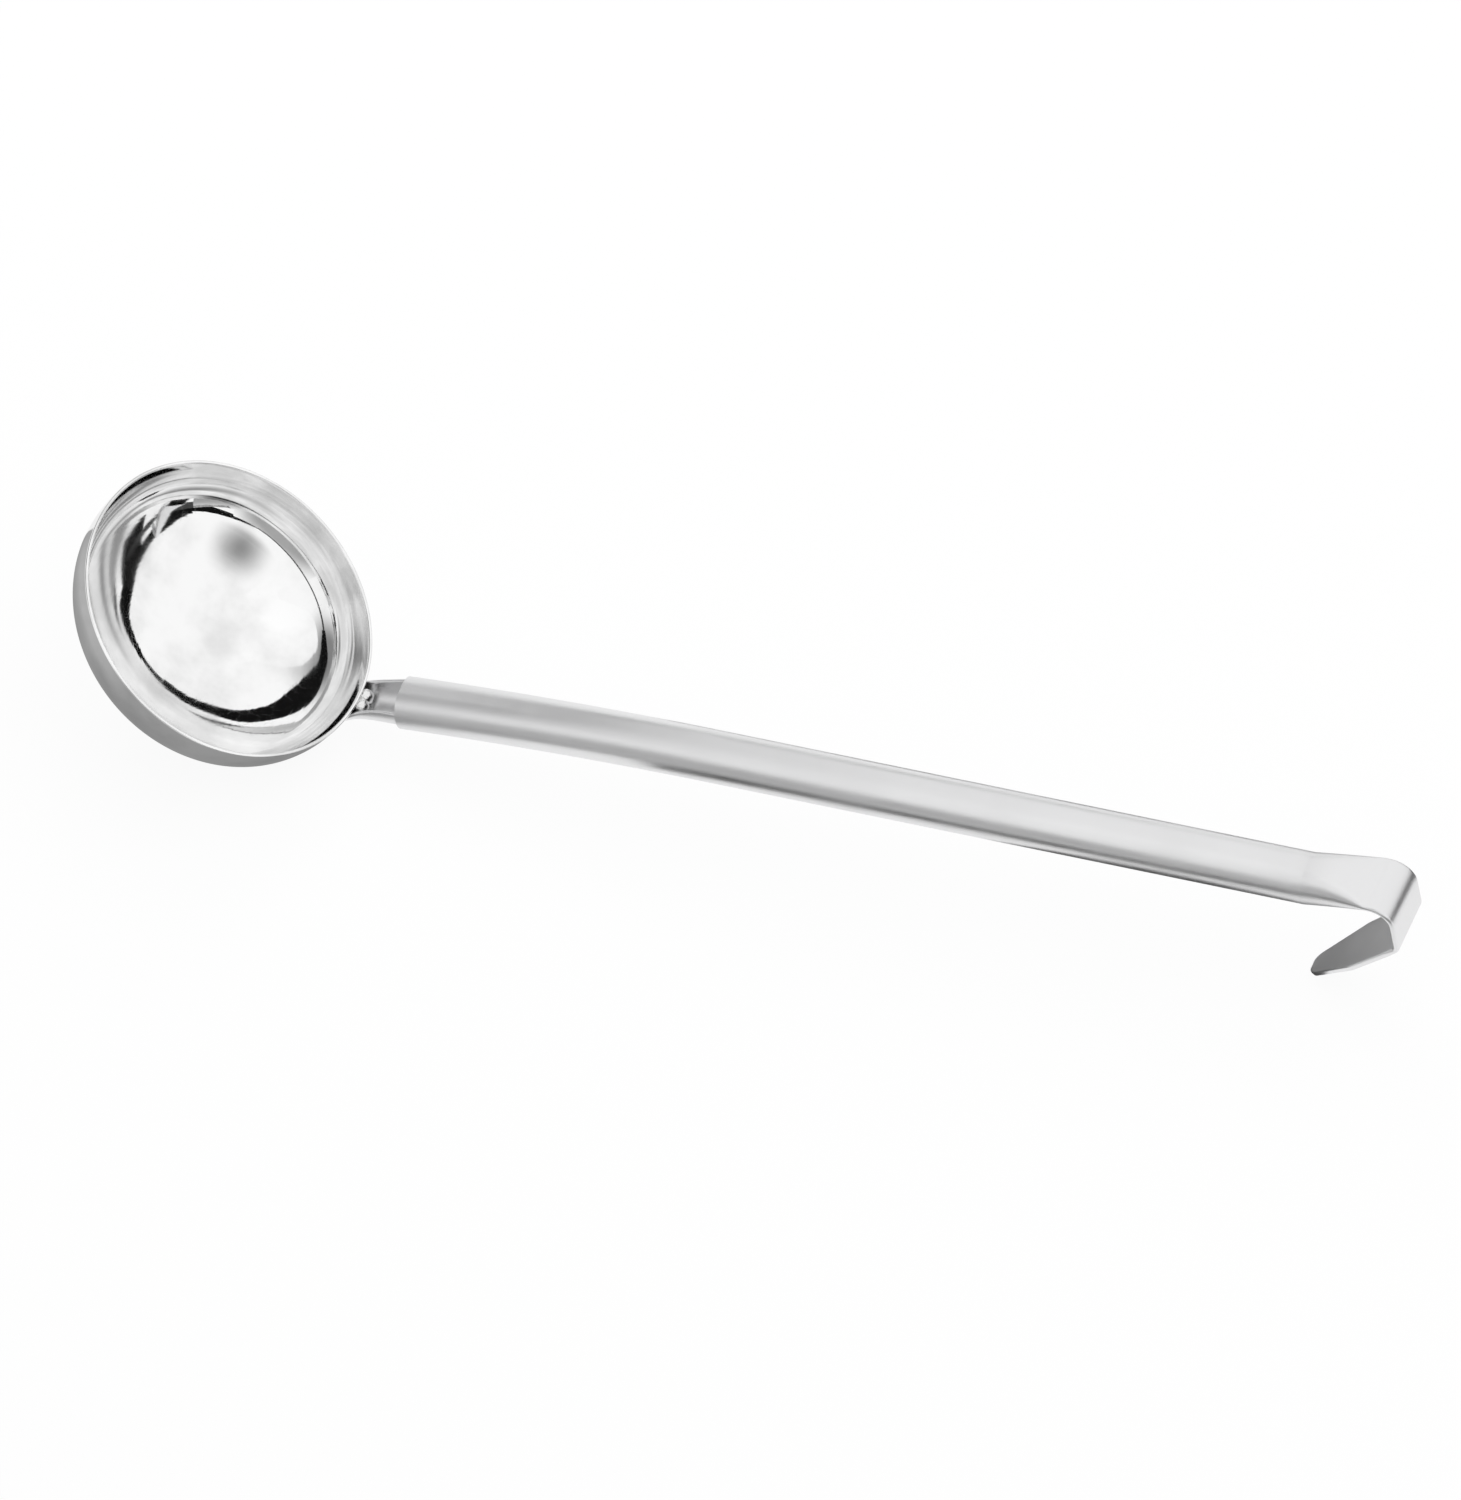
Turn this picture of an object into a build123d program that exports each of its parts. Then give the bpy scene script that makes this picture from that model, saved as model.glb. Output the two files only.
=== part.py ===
# A catering soup ladle in stainless steel: a deep bowl, a hollow handle that ends in a hook,
# and the weld beads between the two.
import os
from math import asin, atan2, cos, degrees, hypot, radians, sin, sqrt

from build123d import *

# Bowl, in millimetres and degrees. It is drawn with its axis on Z and its rim at height zero.
rim_radius = 50.0
bowl_depth = 35.5
bowl_wall = 1.2
wall_height = 4.3
wall_lean = 2.0
shoulder_radius = 22.0
rim_round = 0.5

# Handle path in the plane of symmetry: from the rim it climbs on a gentle bow, then runs straight
lift_angle = 43.5
straight_angle = 37.6
bow_length = 120.0
straight_length = 197.0

# Handle tube, an upright oval
tube_width = 17.0
tube_height = 14.0
tube_corner = 6.8
tube_wall = 1.0

# Open channel at the bowl end, and the tongue that it flattens into on the bowl's wall
mouth_length = 15.0
channel_wall = 1.3
channel_inset = 0.3
channel_half = 7.8
channel_depth = 8.9
throat_length = 4.0
throat_half = 7.0
throat_depth = 7.2
turn_drop = 8.0
turn_standoff = 1.2
turn_half = 8.2
turn_depth = 2.8
tongue_drop = 12.5
tongue_half = 8.8
tongue_end_drop = 17.5
tongue_end_half = 7.0
tongue_bite = 0.3

# Far end: the tube is pressed flat into a strip, which is bent twice and ends in a tapered flap
flatten_length = 22.0
press_share = 0.5
press_width = 18.4
press_height = 10.0
press_corner = 4.9
press_rise = 2.0
strip_width = 21.0
strip_thickness = 2.0
strip_corner = 0.95
strip_rise = 3.7
lead_length = 1.5
crown_radius = 7.2
crown_turn = 90.0
leg_length = 9.0
elbow_radius = 3.0
elbow_turn = 50.0
flap_length = 45.2
flap_belly_share = 0.45
flap_belly_half = 9.6
flap_tip_radius = 4.6
flap_edge_round = 0.6

# Weld beads
rim_bead_radius = 2.6
rim_bead_spread = 2.1
rim_bead_out = 1.7
rim_bead_drop = 1.8
side_bead_radius = 1.1
side_bead_top = 9.5
side_bead_bottom = 15.5
side_bead_gap = 0.2
side_bead_out = 0.4
side_bead_end_share = 0.6

# One overrun serves all cuts
overrun = 20.0


def step_from(point, angle, length):
    # The point that lies a length away from another, in a direction of the plane of symmetry
    return (point[0] + length * cos(radians(angle)), point[1] + length * sin(radians(angle)))


# The outline has a leaning wall, a shoulder arc and a flatter bottom arc, each tangent to the next
wall_foot = step_from((rim_radius, 0), -90 - wall_lean, wall_height)
side_centre = step_from(wall_foot, 180 - wall_lean, shoulder_radius)
side_drop = bowl_depth - shoulder_radius
low_height = (side_centre[0] ** 2 + side_centre[1] ** 2 - side_drop**2) / (2 * (side_centre[1] + side_drop))
low_centre = (0, low_height)
bottom_radius = low_height + bowl_depth
bottom_span = degrees(atan2(side_centre[0], low_height - side_centre[1]))


def bowl_points(inset):
    # The outline's bottom, its two joins and its rim, moved inwards by inset
    bottom = (0, inset - bowl_depth)
    low_join = step_from(low_centre, bottom_span - 90, bottom_radius - inset)
    wall_join = step_from(wall_foot, 180 - wall_lean, inset)
    return bottom, low_join, wall_join, (rim_radius - inset / cos(radians(wall_lean)), 0)


bottom, low_join, wall_join, rim_point = bowl_points(0)


def wall_at(drop):
    # A place on the bowl's outside at a depth below the rim, with the wall's upward direction
    if -drop > wall_join[1]:
        return step_from(rim_point, -90 - wall_lean, drop / cos(radians(wall_lean))), 90 - wall_lean
    if -drop > low_join[1]:
        turn = degrees(asin((side_centre[1] + drop) / shoulder_radius))
        return step_from(side_centre, -turn, shoulder_radius), 90 - turn
    turn = degrees(asin((low_centre[1] + drop) / bottom_radius))
    return step_from(low_centre, -turn, bottom_radius), 90 - turn


bow_radius = bow_length / radians(lift_angle - straight_angle)


def bow_at(length):
    # A place on the handle's bow at a length from the rim, with its direction
    angle = lift_angle - degrees(length / bow_radius)
    centre = step_from((rim_radius, 0), lift_angle - 90, bow_radius)
    return step_from(centre, angle + 90, bow_radius), angle


def square_plane(point, angle):
    # The plane square to a direction, with its X across the ladle and its Y to the upper side
    return Plane(
        origin=(point[0], 0, point[1]),
        x_dir=(0, 1, 0),
        z_dir=(cos(radians(angle)), 0, sin(radians(angle))),
    )


def sagitta(half, radius):
    # How deep an arc of a radius is over a half width
    return radius - sqrt(radius**2 - half**2)


mouth, mouth_angle = bow_at(mouth_length)
bow_end, _ = bow_at(bow_length)
tube_end = step_from(bow_end, straight_angle, straight_length)

# Bowl: one drawn shell, turned about its axis, with a rounded rim
with BuildPart() as bowl:
    with BuildSketch(Plane.XZ):
        with BuildLine():
            outer_low = TangentArc(bottom, low_join, tangent=(1, 0))
            TangentArc(low_join, wall_join, tangent=outer_low % 1)
            Line(wall_join, rim_point)
            bottom_in, low_in, wall_in, rim_in = bowl_points(bowl_wall)
            Line(rim_point, rim_in)
            Line(rim_in, wall_in)
            inner_low = TangentArc(bottom_in, low_in, tangent=(1, 0))
            TangentArc(low_in, wall_in, tangent=inner_low % 1)
            Line(bottom_in, bottom)
        make_face()
    revolve(axis=Axis.Z)
    fillet(bowl.edges().group_by(Axis.Z)[-1], rim_round)

# The room that the bowl takes, with the space over it, which the handle and the welds stay out of
with BuildPart() as bowl_room:
    with BuildSketch(Plane.XZ):
        with BuildLine():
            room_low = TangentArc(bottom, low_join, tangent=(1, 0))
            TangentArc(low_join, wall_join, tangent=room_low % 1)
            Polyline(wall_join, rim_point, (rim_radius, overrun), (0, overrun), bottom)
        make_face()
    revolve(axis=Axis.Z)


# Flap at the end of the hook, flat and tapered, with a round tip. It starts where the elbow ends.
lead_start = step_from(step_from(tube_end, straight_angle, flatten_length), straight_angle + 90, strip_rise)
crown_start = step_from(lead_start, straight_angle, lead_length)
crown_centre = step_from(crown_start, straight_angle - 90, crown_radius)
leg_angle = straight_angle - crown_turn
crown_end = step_from(crown_centre, leg_angle + 90, crown_radius)
leg_end = step_from(crown_end, leg_angle, leg_length)
elbow_centre = step_from(leg_end, leg_angle - 90, elbow_radius)
flap_angle = leg_angle - elbow_turn
elbow_end = step_from(elbow_centre, flap_angle + 90, elbow_radius)

with BuildPart() as flap:
    flap_plane = Plane(
        origin=(elbow_end[0], 0, elbow_end[1]),
        x_dir=(cos(radians(flap_angle)), 0, sin(radians(flap_angle))),
        z_dir=(-sin(radians(flap_angle)), 0, cos(radians(flap_angle))),
    )
    with BuildSketch(flap_plane):
        with BuildLine():
            Line((0, -strip_width / 2), (0, strip_width / 2))
            CenterArc((flap_length * flap_belly_share, 0), flap_belly_half, 0, 360)
            CenterArc((flap_length - flap_tip_radius, 0), flap_tip_radius, 0, 360)
        make_hull()
    extrude(amount=strip_thickness / 2, both=True)
    outline = flap.faces().sort_by(SortBy.AREA)[-2:].edges()
    fillet(outline - outline.filter_by(Axis.Y), flap_edge_round)

# Channel and tongue: places along them, each with its direction, half width and depth
bury = channel_wall - tongue_bite


def under_tube(length):
    # The channel's lowest place at a length from the rim, with the handle's direction there
    place, angle = bow_at(length)
    return step_from(place, angle - 90, tube_height / 2 - channel_inset), angle


def on_wall(drop, standoff):
    # A place off the bowl's wall, with the wall's upward direction
    place, lean = wall_at(drop)
    return step_from(place, lean - 90, standoff), lean


lip, lip_angle = under_tube(mouth_length)
throat, throat_angle = under_tube(throat_length)
turn, turn_lean = on_wall(turn_drop, bury + turn_standoff)
seat, seat_lean = on_wall(tongue_drop, bury)
seat_radius = wall_at(tongue_drop)[0][0]
end, end_lean = on_wall(tongue_end_drop, bury)
end_radius = wall_at(tongue_end_drop)[0][0]
stations = (
    (lip, lip_angle, channel_half, channel_depth),
    (throat, throat_angle, throat_half, throat_depth),
    (turn, (throat_angle + turn_lean) / 2, turn_half, turn_depth),
    (seat, seat_lean, tongue_half, sagitta(tongue_half, seat_radius)),
    (end, end_lean, tongue_end_half, sagitta(tongue_end_half, end_radius)),
)

# Handle: tube, pressed end and hook, then the channel and tongue, all one formed piece
with BuildPart() as handle:
    with BuildLine(Plane.XZ) as tube_path:
        mouth_heading = (cos(radians(mouth_angle)), sin(radians(mouth_angle)))
        JernArc(mouth, mouth_heading, bow_radius, straight_angle - mouth_angle)
        Line(bow_end, tube_end)
    with BuildSketch(square_plane(mouth, mouth_angle)):
        RectangleRounded(tube_width, tube_height, tube_corner)
    sweep(path=tube_path.line)
    press = step_from(tube_end, straight_angle, flatten_length * press_share)
    press_centre = step_from(press, straight_angle + 90, press_rise)
    with BuildSketch(square_plane(tube_end, straight_angle)):
        RectangleRounded(tube_width, tube_height, tube_corner)
    with BuildSketch(square_plane(press_centre, straight_angle)):
        RectangleRounded(press_width, press_height, press_corner)
    with BuildSketch(square_plane(lead_start, straight_angle)):
        RectangleRounded(strip_width, strip_thickness, strip_corner)
    loft()
    with BuildLine(Plane.XZ) as hook_path:
        Line(lead_start, crown_start)
        lead_heading = (cos(radians(straight_angle)), sin(radians(straight_angle)))
        JernArc(crown_start, lead_heading, crown_radius, -crown_turn)
        Line(crown_end, leg_end)
        leg_heading = (cos(radians(leg_angle)), sin(radians(leg_angle)))
        JernArc(leg_end, leg_heading, elbow_radius, -elbow_turn)
    with BuildSketch(square_plane(lead_start, straight_angle)):
        RectangleRounded(strip_width, strip_thickness, strip_corner)
    sweep(path=hook_path.line)
    add(flap.part)
    # The hollow inside, which closes where the tube is pressed
    with BuildSketch(square_plane(mouth, mouth_angle)):
        RectangleRounded(tube_width - 2 * tube_wall, tube_height - 2 * tube_wall, tube_corner - tube_wall)
    sweep(path=tube_path.line, mode=Mode.SUBTRACT)
    with BuildSketch(square_plane(tube_end, straight_angle)):
        RectangleRounded(tube_width - 2 * tube_wall, tube_height - 2 * tube_wall, tube_corner - tube_wall)
    with BuildSketch(square_plane(press_centre, straight_angle)):
        RectangleRounded(
            press_width - 4 * tube_wall, press_height - 4 * tube_wall, press_corner - 2 * tube_wall
        )
    loft(mode=Mode.SUBTRACT)
    # The channel's section is a band between two arcs about one centre
    for place, angle, half, depth in stations:
        outer_radius = (half**2 + depth**2) / (2 * depth)
        inner_share = 1 - channel_wall / outer_radius
        inner_end = (half * inner_share, outer_radius - (outer_radius - depth) * inner_share)
        with BuildSketch(square_plane(place, angle)):
            with BuildLine():
                ThreePointArc((-half, depth), (0, 0), (half, depth))
                Line((half, depth), inner_end)
                ThreePointArc(inner_end, (0, channel_wall), (-inner_end[0], inner_end[1]))
                Line((-inner_end[0], inner_end[1]), (-half, depth))
            make_face()
    loft()
    add(bowl_room.part, mode=Mode.SUBTRACT)

# Rim weld: a bead with two lobes where the channel meets the rim
with BuildPart() as rim_weld:
    for side in (-1, 1):
        with Locations((rim_radius + rim_bead_out, side * rim_bead_spread, -rim_bead_drop)):
            Sphere(rim_bead_radius)
    add(bowl.part, mode=Mode.SUBTRACT)
    add(handle.part, mode=Mode.SUBTRACT)

# Side welds: a bead down each edge of the tongue, on the bowl's wall
side_welds = []
for side in (-1, 1):
    swing = degrees(asin((tongue_half + side_bead_gap) / seat_radius))
    side_plane = Plane(
        origin=(0, 0, 0),
        x_dir=(cos(radians(swing)), side * sin(radians(swing)), 0),
        z_dir=(side * sin(radians(swing)), -cos(radians(swing)), 0),
    )
    with BuildPart() as side_weld:
        with BuildLine(side_plane):
            bead_line = Line(
                on_wall(side_bead_top, side_bead_out)[0], on_wall(side_bead_bottom, side_bead_out)[0]
            )
        with BuildSketch(Plane(origin=bead_line @ 0, z_dir=bead_line % 0)):
            Circle(side_bead_radius)
        extrude(amount=bead_line.length)
        fillet(side_weld.edges().filter_by(GeomType.CIRCLE), side_bead_radius * side_bead_end_share)
        add(bowl_room.part, mode=Mode.SUBTRACT)
        add(handle.part, mode=Mode.SUBTRACT)
    side_welds.append(side_weld)

# The ladle rests on the bowl's underside and on the lower edge of the flap's tip, so its tilt
# is the slope of the line that touches both from below
toe = step_from(elbow_end, flap_angle, flap_length - flap_edge_round)
toe = step_from(toe, flap_angle + 90, strip_thickness / 2 - flap_edge_round)


def slope_under(centre, radius):
    # The slope of the line under an arc of the bowl and under the toe
    run, rise = toe[0] - centre[0], toe[1] - centre[1]
    return degrees(atan2(rise, run) + asin((radius - flap_edge_round) / hypot(run, rise)))


tilt = slope_under(low_centre, bottom_radius)
if tilt > bottom_span:
    tilt = slope_under(side_centre, shoulder_radius)

pieces = {"bowl": bowl, "handle": handle, "rim_weld": rim_weld}
pieces["tongue_weld_left"], pieces["tongue_weld_right"] = side_welds
tilted = [piece.part.moved(Rotation(0, tilt, 0)) for piece in pieces.values()]
box = Compound(children=tilted).bounding_box()
rest = Pos(-box.center().X, 0, -box.min.Z) * Rotation(0, tilt, 0)

os.makedirs("parts", exist_ok=True)
for name, piece in pieces.items():
    piece.part.move(rest)
    piece.part.label = name
    export_step(piece.part, f"parts/{name}.step")
print("tilt", tilt, "bottom span", bottom_span, "size", box.size)
for name, place in (
    ("bowl rim centre", (0, 0)),
    ("bowl arc centre", low_centre),
    ("crown centre", crown_centre),
    ("leg end", leg_end),
    ("flap middle", step_from(elbow_end, flap_angle, flap_length / 2)),
    ("toe", toe),
):
    print(name, (rest * Pos(place[0], 0, place[1])).position)
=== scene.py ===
import math

import bpy
import numpy as np
from mathutils import Matrix, Vector


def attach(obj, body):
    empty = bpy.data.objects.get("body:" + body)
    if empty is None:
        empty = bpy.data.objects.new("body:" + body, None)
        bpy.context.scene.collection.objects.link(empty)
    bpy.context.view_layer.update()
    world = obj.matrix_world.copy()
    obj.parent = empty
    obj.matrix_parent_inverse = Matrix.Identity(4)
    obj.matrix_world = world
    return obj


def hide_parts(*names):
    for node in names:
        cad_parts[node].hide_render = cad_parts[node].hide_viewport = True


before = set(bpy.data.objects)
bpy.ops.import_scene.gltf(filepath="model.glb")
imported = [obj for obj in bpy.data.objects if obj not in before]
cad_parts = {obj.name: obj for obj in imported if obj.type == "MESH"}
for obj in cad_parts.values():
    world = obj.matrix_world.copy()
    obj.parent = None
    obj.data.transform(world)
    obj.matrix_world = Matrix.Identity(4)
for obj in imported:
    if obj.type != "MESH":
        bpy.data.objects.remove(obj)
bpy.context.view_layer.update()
print("frame loaded:", sorted(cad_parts))

# Where the rim's centre lies in the shared frame, and how far the ladle is tipped to rest (mm, degrees)
rest = {"rimX": -171.266, "rimZ": 40.415, "tilt": 33.0269}
toMetres = 0.001


def toFrame(x, y, z):
    # Rim coordinates to the shared frame: a turn about Y by the resting tilt, a shift, mm to metres
    c, s = math.cos(math.radians(rest["tilt"])), math.sin(math.radians(rest["tilt"]))
    x, y, z = np.broadcast_arrays(x, y, z)
    return np.stack([rest["rimX"] + x * c + z * s, y, rest["rimZ"] - x * s + z * c], -1) * toMetres


def stepFrom(point, angle, length):
    # A point of the plane of symmetry, moved by a length in a direction
    lean = math.radians(angle)
    return np.array([point[0] + length * math.cos(lean), point[1] + length * math.sin(lean)])


def meshFrom(name, verts, faces, sharpAngle=50):
    # Vertices and faces to an object at the origin, turned outwards where its enclosed volume is negative
    faces = [np.asarray(block, int) for block in faces]
    volume = 0.0
    for block in faces:
        for k in range(1, block.shape[1] - 1):
            a, b, c = verts[block[:, 0]], verts[block[:, k]], verts[block[:, k + 1]]
            volume += np.einsum("ij,ij->i", a, np.cross(b, c)).sum()
    if volume < 0:
        faces = [block[:, ::-1] for block in faces]
    mesh = bpy.data.meshes.new(name)
    mesh.from_pydata(verts.tolist(), [], sum((block.tolist() for block in faces), []))
    mesh.shade_smooth()
    mesh.set_sharp_from_angle(angle=math.radians(sharpAngle))
    mesh.update()
    obj = bpy.data.objects.new(name, mesh)
    bpy.context.scene.collection.objects.link(obj)
    return obj


def gridQuads(count, around, closed=True):
    # Quads between neighbouring rows of points; a closed row's last point joins its first
    columns = around if closed else around - 1
    i, j = np.meshgrid(np.arange(count - 1), np.arange(columns), indexing="ij")
    a, b = i * around + j, i * around + (j + 1) % around
    return np.stack([a, b, b + around, a + around], -1).reshape(-1, 4)


def ringMesh(name, rings, startPole=None, endPole=None, sharpAngle=50):
    # Rings of equal count joined by quads; each end is closed by a fan round its pole
    count, around = rings.shape[:2]
    faces = [gridQuads(count, around)]
    verts = [rings.reshape(-1, 3)]
    j = np.arange(around)
    if startPole is not None:
        pole = np.full(around, count * around)
        faces.append(np.stack([(j + 1) % around, j, pole], -1))
        verts.append(np.asarray(startPole).reshape(1, 3))
    if endPole is not None:
        pole = np.full(around, count * around + (startPole is not None))
        last = (count - 1) * around
        faces.append(np.stack([last + j, last + (j + 1) % around, pole], -1))
        verts.append(np.asarray(endPole).reshape(1, 3))
    return meshFrom(name, np.concatenate(verts), faces, sharpAngle)


# Marks that all three metals share: scales in cells to the metre, widths in cells
markSettings = {
    "cloudScale": 25.0, "cloudDetail": 4, "cloudRoughness": 0.55, "cloudLow": 0.38, "cloudHigh": 0.68,
    "scratchScale": 160.0, "scratchWidth": 0.012, "bendScale": 40, "bendShare": 0.03,
}


def addNode(tree, kind, place=(0, 0), **values):
    # A node at a place, with its properties
    node = tree.nodes.new(kind)
    node.location = place
    for key, value in values.items():
        setattr(node, key, value)
    return node


def newGroup(name, inputs, outputs):
    # A node group with named sockets, and its first and last node
    group = bpy.data.node_groups.new(name, "ShaderNodeTree")
    for label, kind, value in inputs:
        socket = group.interface.new_socket(name=label, in_out="INPUT", socket_type=kind)
        if value is not None:
            socket.default_value = value
    for label, kind in outputs:
        group.interface.new_socket(name=label, in_out="OUTPUT", socket_type=kind)
    return group, addNode(group, "NodeGroupInput", (-900, 0)), addNode(group, "NodeGroupOutput", (600, 0))


def mapTo(tree, source, low, high, place, sourceLow=0.0, sourceHigh=1.0, kind="LINEAR"):
    # A value between two limits to a value between two others
    node = addNode(tree, "ShaderNodeMapRange", place, interpolation_type=kind)
    node.inputs["From Min"].default_value = sourceLow
    node.inputs["From Max"].default_value = sourceHigh
    node.inputs["To Min"].default_value = low
    node.inputs["To Max"].default_value = high
    tree.links.new(source, node.inputs["Value"])
    return node.outputs["Result"]


def addNoise(tree, source, place, scale, detail, socket="Vector", **values):
    # Noise of a scale and a detail, read along a vector or, in one dimension, along W
    node = addNode(tree, "ShaderNodeTexNoise", place, **values)
    node.inputs["Scale"].default_value = scale
    node.inputs["Detail"].default_value = detail
    tree.links.new(source, node.inputs[socket])
    return node.outputs["Fac"]


def makeHandling():
    # Faint marks of handling: cloudy patches and a few fine scratches. It puts out two masks from 0 to 1.
    m = markSettings
    group, start, end = newGroup(
        "handlingMarks",
        [
            ("Vector", "NodeSocketVector", None),
            ("Cloud Scale", "NodeSocketFloat", m["cloudScale"]),
            ("Scratch Scale", "NodeSocketFloat", m["scratchScale"]),
        ],
        [("Clouds", "NodeSocketFloat"), ("Scratches", "NodeSocketFloat")],
    )
    link = group.links.new
    vector = start.outputs["Vector"]
    clouds = addNode(group, "ShaderNodeTexNoise", (-600, 200))
    clouds.inputs["Detail"].default_value = m["cloudDetail"]
    clouds.inputs["Roughness"].default_value = m["cloudRoughness"]
    link(vector, clouds.inputs["Vector"])
    link(start.outputs["Cloud Scale"], clouds.inputs["Scale"])
    limits = m["cloudLow"], m["cloudHigh"], "SMOOTHSTEP"
    link(mapTo(group, clouds.outputs["Fac"], 0.0, 1.0, (-350, 200), *limits), end.inputs["Clouds"])
    # Scratches lie along the borders of slightly bent cells
    bend = addNode(group, "ShaderNodeTexNoise", (-700, -150))
    bend.inputs["Scale"].default_value = m["bendScale"]
    link(vector, bend.inputs["Vector"])
    mixed = addNode(group, "ShaderNodeMix", (-520, -150), data_type="VECTOR")
    mixed.inputs["Factor"].default_value = m["bendShare"]
    vectorA, vectorB, vectorOut = mixed.inputs[4], mixed.inputs[5], mixed.outputs[1]
    link(vector, vectorA)
    link(bend.outputs["Color"], vectorB)
    cells = addNode(group, "ShaderNodeTexVoronoi", (-350, -150), feature="DISTANCE_TO_EDGE")
    link(vectorOut, cells.inputs["Vector"])
    link(start.outputs["Scratch Scale"], cells.inputs["Scale"])
    away = cells.outputs["Distance"]
    link(mapTo(group, away, 1.0, 0.0, (-100, -150), 0.0, m["scratchWidth"]), end.inputs["Scratches"])
    return group


handlingMarks = makeHandling()


def newSteel(name, base, slotRoughness):
    # A metal with the marks of handling at hand, and its constant values on the shader
    material = bpy.data.materials.new(name)
    material.use_nodes = True
    tree = material.node_tree
    shader = tree.nodes["Principled BSDF"]
    shader.inputs["Metallic"].default_value = 1.0
    shader.inputs["Roughness"].default_value = slotRoughness
    shader.inputs["Base Color"].default_value = (*base, 1)
    coords = addNode(tree, "ShaderNodeTexCoord", (-1500, 0))
    marks = addNode(tree, "ShaderNodeGroup", (-1000, 300), node_tree=handlingMarks)
    tree.links.new(coords.outputs["Object"], marks.inputs["Vector"])
    return material, tree, shader, coords, marks


def setRoughness(tree, shader, marks, low, high, scratched):
    # Clouds move the roughness between two values, and a scratch lifts it to a third
    cloudy = mapTo(tree, marks.outputs["Clouds"], low, high, (-700, 300))
    cut = mapTo(tree, marks.outputs["Scratches"], 0.0, scratched, (-700, 50))
    most = addNode(tree, "ShaderNodeMath", (-450, 200), operation="MAXIMUM")
    tree.links.new(cloudy, most.inputs[0])
    tree.links.new(cut, most.inputs[1])
    tree.links.new(most.outputs[0], shader.inputs["Roughness"])


def addBump(tree, shader, height, distance, place, before=None):
    # A bump of a height in metres, on top of the one before
    node = addNode(tree, "ShaderNodeBump", place)
    node.inputs["Distance"].default_value = distance
    tree.links.new(height, node.inputs["Height"])
    if before is not None:
        tree.links.new(before, node.inputs["Normal"])
    tree.links.new(node.outputs["Normal"], shader.inputs["Normal"])
    return node.outputs["Normal"]


# Bowl: spun sheet with a mirror polish (mm, degrees)
bowlSettings = {
    "rimRadius": 50.0, "depth": 35.5, "wall": 1.2, "wallHeight": 4.3, "wallLean": 2.0,
    "shoulderRadius": 22.0, "rimRound": 0.5,
    "around": 288, "arcCount": 90, "fineCount": 400, "wallCount": 12, "rimCount": 9, "sharpAngle": 60,
    "toneLow": 0.74, "toneHigh": 0.94, "roughLow": 0.035, "roughHigh": 0.10, "roughScratch": 0.16,
    "cloudScale": 34.0, "spinScale": 900.0, "spinDetail": 3, "spinBump": 0.000004,
    "dentScale": 30.0, "dentDetail": 1, "dentBump": 0.0003,
}


# A leaning wall, a shoulder arc and a flatter bottom arc, each tangent to the next
wallLean = bowlSettings["wallLean"]
wallFoot = stepFrom((bowlSettings["rimRadius"], 0), -90 - wallLean, bowlSettings["wallHeight"])
sideCentre = stepFrom(wallFoot, 180 - wallLean, bowlSettings["shoulderRadius"])
sideDrop = bowlSettings["depth"] - bowlSettings["shoulderRadius"]
lowHeight = ((sideCentre**2).sum() - sideDrop**2) / (2 * (sideCentre[1] + sideDrop))


def bowlProfile(inset, count):
    # Radius and height from the bottom to the rim, along both arcs and up the wall
    b = bowlSettings
    lowRadius = lowHeight + b["depth"] - inset
    sideRadius = b["shoulderRadius"] - inset
    lean = math.radians(wallLean)
    span = math.atan2(sideCentre[0], lowHeight - sideCentre[1])
    low = np.linspace(0, span, count)
    turn = np.linspace(span, math.pi / 2 - lean, count)[1:]
    wall = np.linspace(0, 1, b["wallCount"])[1:]
    foot = stepFrom(wallFoot, 180 - wallLean, inset)
    rimRadius = b["rimRadius"] - inset / math.cos(lean)
    wallR = foot[0] + (rimRadius - foot[0]) * wall
    r = np.concatenate([lowRadius * np.sin(low), sideCentre[0] + sideRadius * np.sin(turn), wallR])
    lowZ = lowHeight - lowRadius * np.cos(low)
    z = np.concatenate([lowZ, sideCentre[1] - sideRadius * np.cos(turn), foot[1] * (1 - wall)])
    return r, z


def makeBowl():
    # The outer profile, the rim's two quarter rounds and the inner profile, all turned round the axis
    b = bowlSettings
    (outR, outZ), (inR, inZ) = bowlProfile(0, b["arcCount"]), bowlProfile(b["wall"], b["arcCount"])
    q = np.linspace(0, math.pi / 2, b["rimCount"])
    k, keepOut, keepIn = b["rimRound"], outZ < -b["rimRound"], inZ < -b["rimRound"]
    roundOut = (b["rimRadius"] - k + k * np.cos(q), -k + k * np.sin(q))
    roundIn = (b["rimRadius"] - b["wall"] + k - k * np.sin(q), -k + k * np.cos(q))
    r = np.concatenate([outR[keepOut], roundOut[0], roundIn[0], inR[keepIn][::-1]])
    z = np.concatenate([outZ[keepOut], roundOut[1], roundIn[1], inZ[keepIn][::-1]])
    turn = np.linspace(0, 2 * math.pi, b["around"], endpoint=False)
    r, z = r[1:-1, None], z[1:-1, None]
    rings = toFrame(r * np.cos(turn), r * np.sin(turn), z + 0 * turn)
    poles = toFrame(0.0, 0.0, -b["depth"]), toFrame(0.0, 0.0, -b["depth"] + b["wall"])
    return ringMesh("bowlShell", rings, poles[0], poles[1], b["sharpAngle"])


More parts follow.
